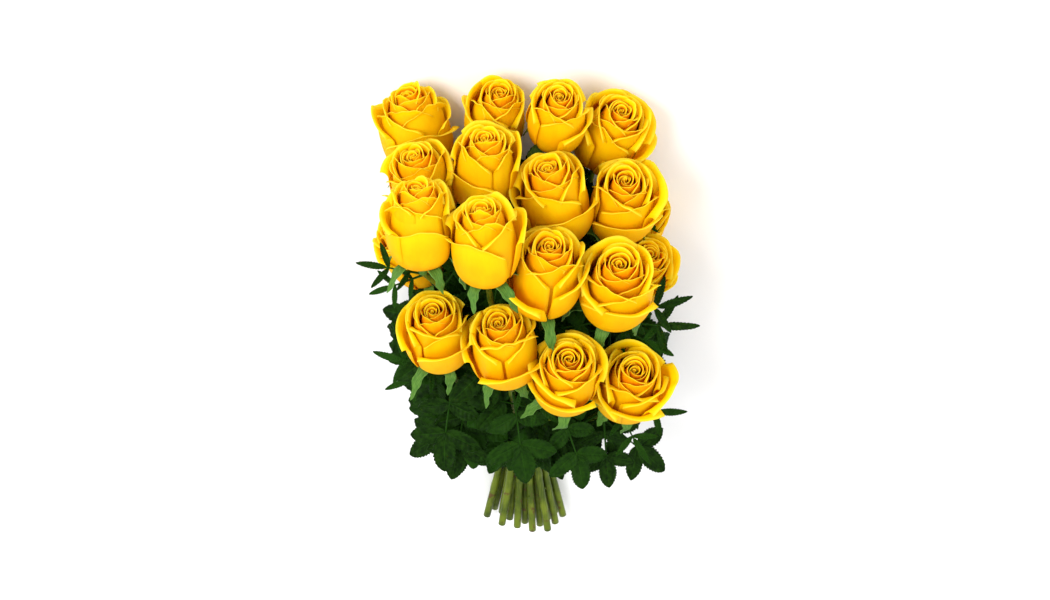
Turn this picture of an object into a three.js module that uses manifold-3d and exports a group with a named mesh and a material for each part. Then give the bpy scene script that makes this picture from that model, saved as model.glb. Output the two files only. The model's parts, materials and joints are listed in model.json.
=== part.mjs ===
// A tied bunch of cut roses lying on a table, in millimetres.
// +Y runs from the cut stem ends to the flower heads, +Z up from the table, +X to the right.
import * as THREE from "three";
import { mergeVertices } from "three/addons/utils/BufferGeometryUtils.js";
import Module from "manifold-3d";

const wasm = await Module();
wasm.setup();

// Driving sizes
const BLOOM_WIDTH = 51;
const BLOOM_LENGTH = 67;
const STEM_DIAMETER = 6.2;
const HIP_DIAMETER = 11;
const HIP_LENGTH = 9;
const CUT_LENGTH = 90; // from the tie to the cut ends
const CUT_STAGGER = 4; // how unevenly the ends are cut
const CUT_SPREAD_ACROSS = 1.85; // spacing of the cut ends over the spacing in the tie
const CUT_SPREAD_UP = 1.25;
const LEAFLET_LENGTH = 44;
const LEAFLET_WIDTH = 31;
const LEAF_THICKNESS = 1.6; // at the midrib, thinning to the edge
const LEAF_STALK = 2.2;
const LEAFLET_ANGLE = 1.15; // between a side leaflet and the leaf's own line, in radians
const LEAF_FOLD = 0.3; // rise of a leaflet's edge over its half width
const LEAF_DROOP = 0.16; // fall of a leaf's tip over its reach
const STALK_SHARE = 0.62; // bare stalk below the first pair, over the end leaflet's length
const STEP_SHARE = 0.72; // from one pair of leaflets to the next
const PAIR_SHARES = [0.88, 0.76]; // size of each pair over the end leaflet, from the tip down
const LEAFLET_STATIONS = [
  { along: 0.22, wide: 0.78 },
  { along: 0.52, wide: 1.0 },
  { along: 0.8, wide: 0.6 },
];
const SEPALS = 5;
const SEPAL_LENGTH = (24 * BLOOM_LENGTH) / 67;
const SEPAL_WIDTH = 8;
const SEPAL_THICKNESS = 1.1;
const SEPAL_LEAN = 0.5; // of a sepal's cross-section towards the bloom's base
const TIE_WIDTH = 7;
const TIE_THICKNESS = 1.6;
const HIP_PROFILE = [
  { r: 0, s: 1 },
  { r: 0.2, s: 1 },
  { r: 0.45, s: 0.5 },
  { r: 0.5, s: 0.15 },
  { r: 0.4, s: 0 },
  { r: 0, s: 0 },
];

// Clearances between pieces
const BLOOM_GAP = 2.2; // from bloom to bloom; a passing stem keeps twice as far away
const STEM_GAP = 1.2; // from stem to stem in the tie
const TIE_GAP = 2.4; // the tie clears the stems where they fan out inside its width
const SEAT_GAP = 0.4; // between pieces that touch in the real bunch

// Heads are placed in multiples of one bloom's pitch, so that they stay packed when blooms change size.
const PITCH = BLOOM_WIDTH + BLOOM_GAP;
const LATTICE = STEM_DIAMETER + STEM_GAP;
const LATTICE_ROW = LATTICE * Math.cos(Math.PI / 6);
const TIE_HEIGHT = STEM_DIAMETER / 2 + TIE_GAP + TIE_THICKNESS + SEAT_GAP; // of the lowest stems in the tie

// One entry per rose. at: across, along and up, in pitches. face: degrees that the bloom looks up and to the
// right. size: over a standard bloom. tie: column and row of the stem in the tied bundle.
const ROSES = [
  { at: [-1.6, 6.08, 0.5], face: [2, -8], size: 1.02, tie: [-2, 0] },
  { at: [-0.32, 6.3, 0.52], face: [20, 6], size: 0.94, tie: [-1, 0] },
  { at: [0.39, 6.55, 0.95], face: [27, 6], size: 0.9, tie: [0, 0] },
  { at: [1.27, 6.1, 0.52], face: [26, 16], size: 1.02, tie: [1, 0] },
  { at: [-1.42, 5.82, 1.42], face: [15, -10], size: 1.0, tie: [-1.5, 1] },
  { at: [-0.38, 5.98, 1.44], face: [10, 2], size: 0.97, tie: [-0.5, 1] },
  { at: [0.67, 5.63, 1.48], face: [14, -8], size: 1.06, tie: [0.5, 1] },
  { at: [0.98, 5.34, 1.3], face: [27, 4], size: 1.03, tie: [1.5, 1] },
  { at: [-1.17, 5.75, 2.25], face: [-3, -2], size: 0.96, tie: [-1, 2] },
  { at: [-1.76, 4.3, 1.0], face: [8, -30], size: 0.9, tie: [-2.5, 1] },
  { at: [-0.58, 5.5, 2.5], face: [6, -3], size: 0.98, tie: [0, 2] },
  { at: [0.02, 4.95, 2.36], face: [18, 5], size: 1.06, tie: [1, 2] },
  { at: [1.25, 4.57, 2.3], face: [26, 3], size: 1.08, tie: [2, 2] },
  { at: [1.72, 4.1, 1.15], face: [24, 20], size: 0.94, tie: [2.5, 1] },
  { at: [1.62, 4.45, 0.5], face: [16, 14], size: 0.86, tie: [2, 0] },
  { at: [-1.18, 3.75, 2.36], face: [22, -4], size: 0.98, tie: [-1.5, 3] },
  { at: [-0.21, 3.72, 2.52], face: [18, -6], size: 1.0, tie: [-0.5, 3] },
  { at: [0.46, 3.22, 2.6], face: [30, 3], size: 1.02, tie: [0.5, 3] },
  { at: [1.58, 2.71, 2.24], face: [33, 8], size: 1.04, tie: [1.5, 3] },
];

// Leaves spring from the stems in rings. along: distance from the tie, in pitches. around: degrees about the
// bundle, 0 to the right and 90 up. back: degrees that the leaf leans towards the cut ends.
const LEAF_RINGS = [
  { along: 1.5, around: [80, 125], back: 62, leaflets: 5, size: 0.62 },
  { along: 1.35, around: [18, 162], back: 35, leaflets: 5, size: 0.72 },
  { along: 1.9, around: [45, 100, 140], back: 60, leaflets: 5, size: 0.72 },
  { along: 2.0, around: [-5, 185], back: 50, leaflets: 5, size: 0.8 },
  { along: 2.4, around: [70, 112], back: 66, leaflets: 5, size: 0.8 },
  { along: 2.4, around: [35], back: 74, leaflets: 5, size: 0.85 },
  { along: 2.9, around: [60, 105, 0, 172, 135], back: 68, leaflets: 5, size: 0.9 },
  { along: 3.4, around: [-5, 185], back: 64, leaflets: 5, size: 0.85 },
  { along: 4.0, around: [5, 175], back: 62, leaflets: 5, size: 0.85 },
];

// The profile of a bloom from its base over the outer petals' lip to the bud in its middle. s is the share of
// the length, r the share of the half width, lobes the number of petals in that whorl, wave its relief.
const BLOOM_PROFILE = [
  { s: 0.0, r: 0.3, lobes: 5, wave: 0.0, turn: 0 },
  { s: 0.16, r: 0.64, lobes: 5, wave: 0.03, turn: 0.1 },
  { s: 0.48, r: 0.9, lobes: 5, wave: 0.04, turn: 0.2 },
  { s: 0.72, r: 0.9, lobes: 5, wave: 0.05, turn: 0.35 },
  { s: 0.84, r: 0.94, lobes: 5, wave: 0.06, turn: 0.4 },
  { s: 0.83, r: 0.76, lobes: 5, wave: 0.05, turn: 0.5 },
  { s: 0.76, r: 0.64, lobes: 5, wave: 0.03, turn: 0.6 },
  { s: 0.95, r: 0.55, lobes: 3, wave: 0.08, turn: 0.7 },
  { s: 0.86, r: 0.38, lobes: 3, wave: 0.05, turn: 1.0 },
  { s: 0.99, r: 0.27, lobes: 3, wave: 0.1, turn: 1.4 },
];
const BLOOM_SIDES = 15;
const BLOOM_HEART = 0.93; // the sunk centre of the bud, as a share of the length
const BLOOM_WIDEST = 0.62; // where along a bloom its position is given

// Spheres that stand in for a bloom while heads and stems are pressed apart
const BLOOM_SPHERES = [
  { s: -0.1, r: 0.36 },
  { s: 0.2, r: 0.7 },
  { s: 0.47, r: 0.95 },
  { s: 0.76, r: 0.99 },
];
const PRESS_ROUNDS = 240;
const PATH_POINTS = 12; // points from the tie to the neck of each stem
const PRESS_SHARE = 0.4; // of an overlap that one round takes out
const HOMING = 0.03; // how strongly a head drifts back to its place, in the first half of the rounds
const FAIRING = [0.3, 0.05]; // how strongly a stem straightens, in each half of the rounds
const TIE_BEND = 0.55; // how far a stem leaving the tie is turned from its straight line to the bunch's own
const NECK_BEND = 0.06; // how far down a stem its head's own direction reaches
const STEM_SIDES = 6;
const STEM_STEPS = 13;
const HIP_SIDES = 6;
const TIE_ARC_STEPS = 1;
const WELD = 1e-4; // corners closer than this are one

// What a leaf tries, in this order, until it lies clear of all else
const LEAF_SHRINKS = [1, 0.9, 0.8, 0.7];
const LEAF_SHIFTS = [0, 0.12, -0.12, 0.25, -0.25];
const LEAF_LEANS = [0, 12, -12, 24, -24, 36, -36];
const LEAF_TURNS = [0, 8, -8, 16, -16, 24, -24];

const UP = new THREE.Vector3(0, 0, 1);
const ALONG = new THREE.Vector3(0, 1, 0);

const BLOOM_LOOK = { color: 0xf6b900, roughness: 0.55, metalness: 0 };
const STEM_LOOK = { color: 0x5d7a2c, roughness: 0.6, metalness: 0 };
const LEAF_LOOK = { color: 0x123f1c, roughness: 0.5, metalness: 0 };
const TIE_LOOK = { color: 0xb79a5b, roughness: 0.8, metalness: 0 };

// Meshes and solids

function solidOf(geometry) {
  const bare = geometry.clone();
  bare.deleteAttribute("normal");
  bare.deleteAttribute("uv");
  const merged = mergeVertices(bare, WELD);
  const vertProperties = new Float32Array(merged.attributes.position.array);
  const triVerts = new Uint32Array(merged.index.array);
  return new wasm.Manifold(new wasm.Mesh({ numProp: 3, vertProperties, triVerts }));
}

function geometryOf(solid) {
  const { vertProperties, triVerts } = solid.getMesh();
  const geometry = new THREE.BufferGeometry();
  geometry.setAttribute("position", new THREE.Float32BufferAttribute(vertProperties, 3));
  geometry.setIndex(Array.from(triVerts));
  geometry.computeVertexNormals();
  return geometry;
}

function joined(geometries) {
  return geometryOf(wasm.Manifold.union(geometries.map(solidOf)));
}

function meshOf(geometry, look) {
  return new THREE.Mesh(geometry, new THREE.MeshStandardMaterial(look));
}

function worldSolid(mesh) {
  mesh.updateMatrixWorld(true);
  return solidOf(mesh.geometry.clone().applyMatrix4(mesh.matrixWorld));
}

// Joins closed rings of equal size into one skin, with a point at each end.
function skin(rings, first, last) {
  const sides = rings[0].length;
  const points = [...rings.flat(), first, last];
  const faces = [];
  for (let j = 0; j < sides; j++) {
    const k = (j + 1) % sides;
    faces.push([points.length - 2, k, j]);
    for (let i = 0; i + 1 < rings.length; i++) {
      const low = i * sides;
      const high = low + sides;
      faces.push([low + j, low + k, high + k], [low + j, high + k, high + j]);
    }
    const top = (rings.length - 1) * sides;
    faces.push([top + j, top + k, points.length - 1]);
  }
  return new THREE.BufferGeometry().setFromPoints(points).setIndex(faces.flat());
}

// A round rod along a line of points.
function rod(points, diameter, sides, steps) {
  const rim = Array.from({ length: sides }, (_, j) => {
    const a = (2 * Math.PI * j) / sides;
    return new THREE.Vector2(Math.cos(a), Math.sin(a)).multiplyScalar(diameter / 2);
  });
  const extrudePath = new THREE.CatmullRomCurve3(points);
  return new THREE.ExtrudeGeometry(new THREE.Shape(rim), { steps, extrudePath });
}

// Heads

function headsFrom(roses) {
  return roses.map((rose) => {
    const [lift, aside] = rose.face.map((degrees) => THREE.MathUtils.degToRad(degrees));
    const axis = new THREE.Vector3(
      Math.sin(aside) * Math.cos(lift),
      Math.cos(aside) * Math.cos(lift),
      Math.sin(lift),
    );
    const centre = new THREE.Vector3(...rose.at).multiplyScalar(PITCH);
    const turn = new THREE.Quaternion().setFromUnitVectors(UP, axis);
    return { ...rose, axis, turn, centre, home: centre.clone() };
  });
}

function headBase(head) {
  return head.centre.clone().addScaledVector(head.axis, -BLOOM_WIDEST * BLOOM_LENGTH * head.size);
}

function headSpheres(head) {
  const base = headBase(head);
  return BLOOM_SPHERES.map(({ s, r }) => ({
    point: base.clone().addScaledVector(head.axis, s * BLOOM_LENGTH * head.size),
    radius: (r * BLOOM_WIDTH * head.size) / 2,
  }));
}

// Presses overlapping heads apart, keeps them off the table and lets them drift back towards their places.
function pressHeads(heads) {
  for (let round = 0; round < PRESS_ROUNDS; round++) {
    const spheres = heads.map(headSpheres);
    const moves = heads.map(() => new THREE.Vector3());
    heads.forEach((head, i) => {
      for (let j = i + 1; j < heads.length; j++) {
        for (const a of spheres[i]) {
          for (const b of spheres[j]) {
            const between = a.point.clone().sub(b.point);
            const short = a.radius + b.radius + BLOOM_GAP - between.length();
            if (short > 0) {
              between.setLength(short / 4);
              moves[i].add(between);
              moves[j].sub(between);
            }
          }
        }
      }
    });
    const pull = round < PRESS_ROUNDS / 2 ? HOMING : 0;
    heads.forEach((head, i) => {
      head.centre.add(moves[i]).lerp(head.home, pull);
      const sunk = Math.max(...headSpheres(head).map((s) => s.radius - s.point.z));
      head.centre.z += Math.max(sunk, 0);
    });
  }
}

// Stems

function stemPath(head) {
  const [column, row] = head.tie;
  const tie = new THREE.Vector3(column * LATTICE, 0, TIE_HEIGHT + row * LATTICE_ROW);
  const cut = new THREE.Vector3(
    tie.x * CUT_SPREAD_ACROSS,
    -CUT_LENGTH + CUT_STAGGER * Math.sin(5 * column + 3 * row),
    STEM_DIAMETER / 2 + row * LATTICE_ROW * CUT_SPREAD_UP,
  );
  const base = headBase(head).addScaledVector(head.axis, -SEAT_GAP);
  const neck = base.clone().addScaledVector(head.axis, -HIP_LENGTH);
  const reach = neck.distanceTo(tie);
  const leaving = neck.clone().sub(tie).setLength(1).lerp(ALONG, TIE_BEND).normalize();
  const curve = new THREE.CubicBezierCurve3(
    tie,
    tie.clone().addScaledVector(leaving, reach / 3),
    neck.clone().addScaledVector(head.axis, -reach * NECK_BEND),
    neck,
  );
  return { cut, points: curve.getPoints(PATH_POINTS - 1), base };
}

// The push that takes a point at least `far` away from another one.
function push(point, other, far) {
  const between = point.clone().sub(other);
  return between.setLength(Math.max(far - between.length(), 0));
}

function nearestOn(a, b, point) {
  return new THREE.Line3(a, b).closestPointToPoint(point, true, new THREE.Vector3());
}

// Presses stems apart from each other and from the heads they pass, keeping each one smooth.
function pressStems(stems, heads) {
  const spheres = heads.map(headSpheres);
  for (let round = 0; round < PRESS_ROUNDS; round++) {
    const before = stems.map((stem) => stem.points.map((p) => p.clone()));
    const fairing = round < PRESS_ROUNDS / 2 ? FAIRING[0] : FAIRING[1];
    stems.forEach((stem, i) => {
      for (let k = 1; k < PATH_POINTS - 2; k++) {
        const point = before[i][k];
        const move = before[i][k - 1].clone().lerp(before[i][k + 1], 0.5).sub(point).multiplyScalar(fairing);
        for (let j = 0; j < stems.length; j++) {
          if (j === i) continue;
          for (let m = 0; m + 1 < PATH_POINTS; m++) {
            const nearest = nearestOn(before[j][m], before[j][m + 1], point);
            move.addScaledVector(push(point, nearest, LATTICE), PRESS_SHARE);
          }
          for (const { point: centre, radius } of spheres[j]) {
            const far = radius + STEM_DIAMETER / 2 + BLOOM_GAP;
            for (const next of [before[i][k - 1], before[i][k + 1]]) {
              move.addScaledVector(push(nearestOn(point, next, centre), centre, far), PRESS_SHARE);
            }
          }
        }
        const way = before[i][k + 1].clone().sub(before[i][k - 1]).normalize();
        move.addScaledVector(way, -move.dot(way)).clampLength(0, STEM_DIAMETER / 4);
        stem.points[k].add(move);
        stem.points[k].z = Math.max(stem.points[k].z, STEM_DIAMETER / 2);
      }
    });
  }
}

function sepalGeometry(head, base, index) {
  const a = (2 * Math.PI * (index + 0.5)) / SEPALS;
  const z = head.axis;
  const outward = new THREE.Vector3(Math.cos(a), Math.sin(a), 0).applyQuaternion(head.turn);
  const across = new THREE.Vector3().crossVectors(z, outward);
  const half = (BLOOM_WIDTH * head.size) / 2;
  const length = BLOOM_LENGTH * head.size;
  const stations = [
    { s: -0.08, r: 0.04, width: 0.6 },
    { s: 0.07, r: 0.5, width: 1.0 },
    { s: SEPAL_LENGTH / length, r: 0.94, width: 0.15 },
  ];
  const rings = stations.map(({ s, r, width }) => {
    const spot = base
      .clone()
      .addScaledVector(z, s * length)
      .addScaledVector(outward, r * half + SEAT_GAP + SEPAL_THICKNESS);
    const wide = (SEPAL_WIDTH * width) / 2;
    const thick = SEPAL_THICKNESS / 2;
    const lean = outward.clone().addScaledVector(z, -SEPAL_LEAN).normalize();
    return [
      spot.clone().addScaledVector(across, -wide).addScaledVector(lean, -thick),
      spot.clone().addScaledVector(across, -wide).addScaledVector(lean, thick),
      spot.clone().addScaledVector(across, wide).addScaledVector(lean, thick),
      spot.clone().addScaledVector(across, wide).addScaledVector(lean, -thick),
    ];
  });
  const ends = [rings[0], rings[rings.length - 1]].map((ring) =>
    ring.reduce((sum, p) => sum.add(p), new THREE.Vector3()).multiplyScalar(1 / ring.length),
  );
  return skin(rings, ...ends);
}

function stemMesh(stem, head) {
  const cane = rod([stem.cut, ...stem.points], STEM_DIAMETER, STEM_SIDES, STEM_STEPS);
  const profile = HIP_PROFILE.map(({ r, s }) => new THREE.Vector2(r * HIP_DIAMETER, -s * HIP_LENGTH));
  const hip = new THREE.LatheGeometry(profile, HIP_SIDES).rotateX(Math.PI / 2);
  hip.scale(head.size, head.size, 1).applyQuaternion(head.turn).translate(...stem.base);
  const sepals = Array.from({ length: SEPALS }, (_, i) => sepalGeometry(head, stem.base, i));
  return meshOf(joined([cane, hip, ...sepals]), STEM_LOOK);
}

// Blooms, in their own frame: +Z along the axis from the base

function bloomMesh(head) {
  const length = BLOOM_LENGTH * head.size;
  const half = (BLOOM_WIDTH * head.size) / 2;
  const profile = BLOOM_PROFILE.map(({ s, r }) => new THREE.Vector2(half * r, length * s));
  profile.unshift(new THREE.Vector2(0, 0));
  profile.push(new THREE.Vector2(0, BLOOM_HEART * length));
  const geometry = new THREE.LatheGeometry(profile, BLOOM_SIDES);
  const position = geometry.getAttribute("position");
  for (let i = 0; i < position.count; i++) {
    const ring = BLOOM_PROFILE[(i % profile.length) - 1];
    if (!ring) continue;
    const angle = (2 * Math.PI * Math.floor(i / profile.length)) / BLOOM_SIDES;
    const lobe = Math.cos(ring.lobes * (angle - ring.turn));
    const swell = 1 + ring.wave * lobe;
    const drop = (length * ring.wave * (1 - lobe)) / 2;
    position.setXYZ(i, position.getX(i) * swell, position.getY(i) - drop, position.getZ(i) * swell);
  }
  geometry.rotateX(Math.PI / 2);
  const mesh = meshOf(joined([geometry]), BLOOM_LOOK);
  mesh.quaternion.copy(head.turn);
  mesh.position.copy(headBase(head));
  return mesh;
}

// Leaves, in their own frame: +Y along the leaf from its foot, +Z out of its upper face

function droop(point, length) {
  const share = point.y / length;
  return new THREE.Vector3(point.x, point.y, point.z - LEAF_DROOP * length * share * share);
}

function leaflet(foot, heading, length, width, reach) {
  const place = (along, side, lift) => {
    const x = foot.x + along * Math.sin(heading) + side * Math.cos(heading);
    const y = foot.y + along * Math.cos(heading) - side * Math.sin(heading);
    return droop(new THREE.Vector3(x, y, foot.z + lift), reach);
  };
  const rings = LEAFLET_STATIONS.map(({ along, wide }) => {
    const half = (width * wide) / 2;
    return [
      place(along * length, -half, LEAF_FOLD * half),
      place(along * length, 0, LEAF_THICKNESS / 2),
      place(along * length, half, LEAF_FOLD * half),
      place(along * length, 0, -LEAF_THICKNESS / 2),
    ];
  });
  return skin(rings, place(0, 0, 0), place(length, 0, 0));
}

function leafGeometry(leaflets, size) {
  const length = LEAFLET_LENGTH * size;
  const width = LEAFLET_WIDTH * size;
  const stalk = STALK_SHARE * length;
  const step = STEP_SHARE * length;
  const end = leaflets > 3 ? stalk + step : stalk;
  const reach = end + length;
  const spine = [0, 0.33, 0.67, 1].map((share) =>
    droop(new THREE.Vector3(0, share * (end + LEAF_STALK), 0), reach),
  );
  const parts = [rod(spine, LEAF_STALK, 4, 2)];
  parts.push(leaflet(new THREE.Vector3(0, end, 0), 0, length, width, reach));
  const pairs = leaflets > 3 ? [end, stalk] : [end];
  pairs.forEach((y, i) => {
    const share = PAIR_SHARES[i];
    const foot = new THREE.Vector3(0, y - LEAF_STALK, 0);
    for (const side of [-1, 1]) {
      parts.push(leaflet(foot, side * LEAFLET_ANGLE, share * length, share * width, reach));
    }
  });
  return joined(parts);
}

// The point where a stem crosses a distance along the bunch.
function crossing(stem, along) {
  const { points } = stem;
  const next = points.findIndex((p) => p.y >= along);
  if (next < 1) return null;
  const [a, b] = [points[next - 1], points[next]];
  return a.clone().lerp(b, (along - a.y) / (b.y - a.y));
}

function radial(degrees) {
  const a = THREE.MathUtils.degToRad(degrees);
  return new THREE.Vector3(Math.cos(a), 0, Math.sin(a));
}

// The outermost stem point in a direction around the bundle.
function leafFoot(stems, along, outward) {
  const spots = stems.map((stem) => crossing(stem, along)).filter(Boolean);
  spots.sort((a, b) => b.dot(outward) - a.dot(outward));
  return spots[0].clone().addScaledVector(outward, STEM_DIAMETER / 2 + LEAF_STALK / 2 + SEAT_GAP);
}

function leafMesh(geometry, foot, outward, back) {
  const lean = THREE.MathUtils.degToRad(back);
  const y = outward.clone().multiplyScalar(Math.cos(lean)).addScaledVector(ALONG, -Math.sin(lean));
  const face = outward.clone().multiplyScalar(Math.sin(lean)).addScaledVector(ALONG, Math.cos(lean));
  const x = new THREE.Vector3().crossVectors(y, face.add(UP)).normalize();
  const z = new THREE.Vector3().crossVectors(x, y);
  const mesh = meshOf(geometry, LEAF_LOOK);
  mesh.quaternion.setFromRotationMatrix(new THREE.Matrix4().makeBasis(x, y, z));
  mesh.position.copy(foot);
  return mesh;
}

function clear(solid, others) {
  const { min, max } = solid.boundingBox();
  if (min[2] < 0) return false;
  return others.every((other) => {
    const box = other.boundingBox();
    const far = [0, 1, 2].some((i) => box.min[i] > max[i] || box.max[i] < min[i]);
    return far || other.intersect(solid).isEmpty();
  });
}

// Tries the wished place first, then turns the leaf aside and shrinks it a little until it lies clear.
function fitLeaf(ring, around, stems, taken) {
  for (const shrink of LEAF_SHRINKS) {
    const geometry = leafGeometry(ring.leaflets, ring.size * shrink);
    for (const shift of LEAF_SHIFTS) {
      for (const lean of LEAF_LEANS) {
        for (const turn of LEAF_TURNS) {
          const outward = radial(around + turn);
          const foot = leafFoot(stems, (ring.along + shift) * PITCH, outward);
          const leaf = leafMesh(geometry, foot, outward, ring.back + lean);
          if (clear(worldSolid(leaf), taken)) return leaf;
        }
      }
    }
  }
  return null;
}

// The band around the stems

// The corners of the smallest convex outline round a set of points, in order.
function hull(points) {
  const sorted = [...points].sort((a, b) => a.x - b.x || a.y - b.y);
  const turnsIn = (a, b, c) => (b.x - a.x) * (c.y - a.y) - (b.y - a.y) * (c.x - a.x) <= 0;
  const half = (list) => {
    const kept = [];
    for (const point of list) {
      while (kept.length > 1 && turnsIn(kept[kept.length - 2], kept[kept.length - 1], point)) kept.pop();
      kept.push(point);
    }
    return kept.slice(0, -1);
  };
  return [...half(sorted), ...half(sorted.reverse())];
}

// A belt's outline round the corners, with an arc about each one.
function belt(corners, radius) {
  const outline = corners.flatMap((corner, i) => {
    const next = corners[(i + 1) % corners.length];
    const last = corners[(i + corners.length - 1) % corners.length];
    const from = corner.clone().sub(last).angle() - Math.PI / 2;
    const sweep = (next.clone().sub(corner).angle() - Math.PI / 2 - from + 4 * Math.PI) % (2 * Math.PI);
    return Array.from({ length: TIE_ARC_STEPS + 1 }, (_, k) => {
      const a = from + (sweep * k) / TIE_ARC_STEPS;
      return corner.clone().add(new THREE.Vector2(Math.cos(a), Math.sin(a)).multiplyScalar(radius));
    });
  });
  return outline;
}

function tieMesh(stems) {
  const spots = stems.flatMap((stem) => {
    const below = stem.points[0].clone().lerp(stem.cut, TIE_WIDTH / 2 / CUT_LENGTH);
    return [below, crossing(stem, TIE_WIDTH / 2)];
  });
  const corners = hull(spots.map(({ x, z }) => new THREE.Vector2(x, z)));
  const inside = STEM_DIAMETER / 2 + TIE_GAP;
  const shape = new THREE.Shape(belt(corners, inside + TIE_THICKNESS));
  shape.holes.push(new THREE.Path(belt(corners, inside)));
  const geometry = new THREE.ExtrudeGeometry(shape, { depth: TIE_WIDTH, bevelEnabled: false });
  const mesh = meshOf(joined([geometry]), TIE_LOOK);
  mesh.rotation.x = Math.PI / 2;
  mesh.position.y = TIE_WIDTH / 2;
  return mesh;
}

// The whole bunch

const heads = headsFrom(ROSES);
pressHeads(heads);
const stems = heads.map(stemPath);
pressStems(stems, heads);

const bunch = new THREE.Group();
bunch.name = "rose_bunch";
const taken = [];

function add(kind, number, mesh) {
  mesh.name = number ? `${kind}_${String(number).padStart(2, "0")}` : kind;
  bunch.add(mesh);
  taken.push(worldSolid(mesh));
}

heads.forEach((head, i) => add("bloom", i + 1, bloomMesh(head)));
stems.forEach((stem, i) => add("stem", i + 1, stemMesh(stem, heads[i])));
add("stem_tie", 0, tieMesh(stems));

let leaves = 0;
for (const ring of LEAF_RINGS) {
  for (const around of ring.around) {
    const leaf = fitLeaf(ring, around, stems, taken);
    if (leaf) {
      leaves += 1;
      add("leaf", leaves, leaf);
    }
  }
}

// The origin is under the middle of the whole bunch, on the table.
const box = new THREE.Box3().setFromObject(bunch, true);
const middle = box.getCenter(new THREE.Vector3());
bunch.position.set(-middle.x, -middle.y, -box.min.z);

export default bunch;
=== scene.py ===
# Looks of a tied bunch of yellow roses lying on a table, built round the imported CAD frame. Metres.
import json
import math

import bpy
import numpy as np
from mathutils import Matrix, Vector

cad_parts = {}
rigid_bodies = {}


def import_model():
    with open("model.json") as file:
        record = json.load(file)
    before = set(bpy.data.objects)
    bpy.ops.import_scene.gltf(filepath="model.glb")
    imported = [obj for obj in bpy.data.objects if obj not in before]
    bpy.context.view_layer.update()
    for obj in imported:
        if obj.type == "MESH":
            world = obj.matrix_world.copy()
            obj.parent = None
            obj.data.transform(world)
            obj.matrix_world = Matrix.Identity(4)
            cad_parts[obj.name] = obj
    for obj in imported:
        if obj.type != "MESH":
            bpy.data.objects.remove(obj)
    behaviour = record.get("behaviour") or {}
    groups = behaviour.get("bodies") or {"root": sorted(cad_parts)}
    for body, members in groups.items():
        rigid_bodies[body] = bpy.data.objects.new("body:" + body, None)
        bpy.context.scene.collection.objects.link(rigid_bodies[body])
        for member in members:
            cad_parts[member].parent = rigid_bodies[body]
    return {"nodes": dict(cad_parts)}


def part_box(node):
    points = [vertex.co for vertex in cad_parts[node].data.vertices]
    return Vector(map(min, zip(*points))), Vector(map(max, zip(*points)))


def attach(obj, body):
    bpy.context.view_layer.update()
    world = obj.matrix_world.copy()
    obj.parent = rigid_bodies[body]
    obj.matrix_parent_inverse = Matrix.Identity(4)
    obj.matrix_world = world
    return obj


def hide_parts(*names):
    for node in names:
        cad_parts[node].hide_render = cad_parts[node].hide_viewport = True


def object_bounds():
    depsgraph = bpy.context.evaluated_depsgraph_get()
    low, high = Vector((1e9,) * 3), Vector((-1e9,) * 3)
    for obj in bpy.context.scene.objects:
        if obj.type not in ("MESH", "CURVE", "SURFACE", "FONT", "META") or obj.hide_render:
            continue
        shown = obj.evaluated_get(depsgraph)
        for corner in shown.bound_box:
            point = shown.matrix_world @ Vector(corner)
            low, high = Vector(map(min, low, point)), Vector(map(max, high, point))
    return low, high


# Blender's own cube, light and camera
for spare in list(bpy.data.objects):
    bpy.data.objects.remove(spare)
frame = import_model()
CAD_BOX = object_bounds()

MM = 0.001
GOLDEN_ANGLE = math.pi * (3 - math.sqrt(5))
UP = np.array([0.0, 0.0, 1.0])
ALONG = np.array([0.0, 1.0, 0.0])

# Sizes that the CAD solids share
BLOOM_HEART = 0.93
BLOOM_LENGTH = 67 * MM
BLOOM_WIDTH = 51 * MM
HIP_LENGTH = 9 * MM
HIP_WIDTH = 11 * MM
STEM_RADIUS = 3.1 * MM
LEAFLET_LENGTH = 44 * MM
LEAFLET_WIDTH = 31 * MM
LEAF_STALK = 0.62
LEAF_STEP = 0.72
LEAF_DROOP = 0.16
LEAFLET_ANGLE = 1.15
PER_LEAF = LEAF_STALK + LEAF_STEP + 1  # a compound leaf's length over its end leaflet's

# A leaflet's ribs: how many it has and how far they slant towards the tip
RIBS = 7.5
RIB_SLANT = 1.15

# Soft petals press closer together than the solids that stand for them.
PLUMP_LENGTH = 1.03
PLUMP_WIDTH = 0.97

TABLE_GAP = 0.6 * MM
TABLE_REACH = 6 * MM

# The direction from the bunch to the camera, and how far the camera looks down
TILT = math.radians(35)
TO_CAMERA = np.array([0.0, math.sin(TILT), math.cos(TILT)])

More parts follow.
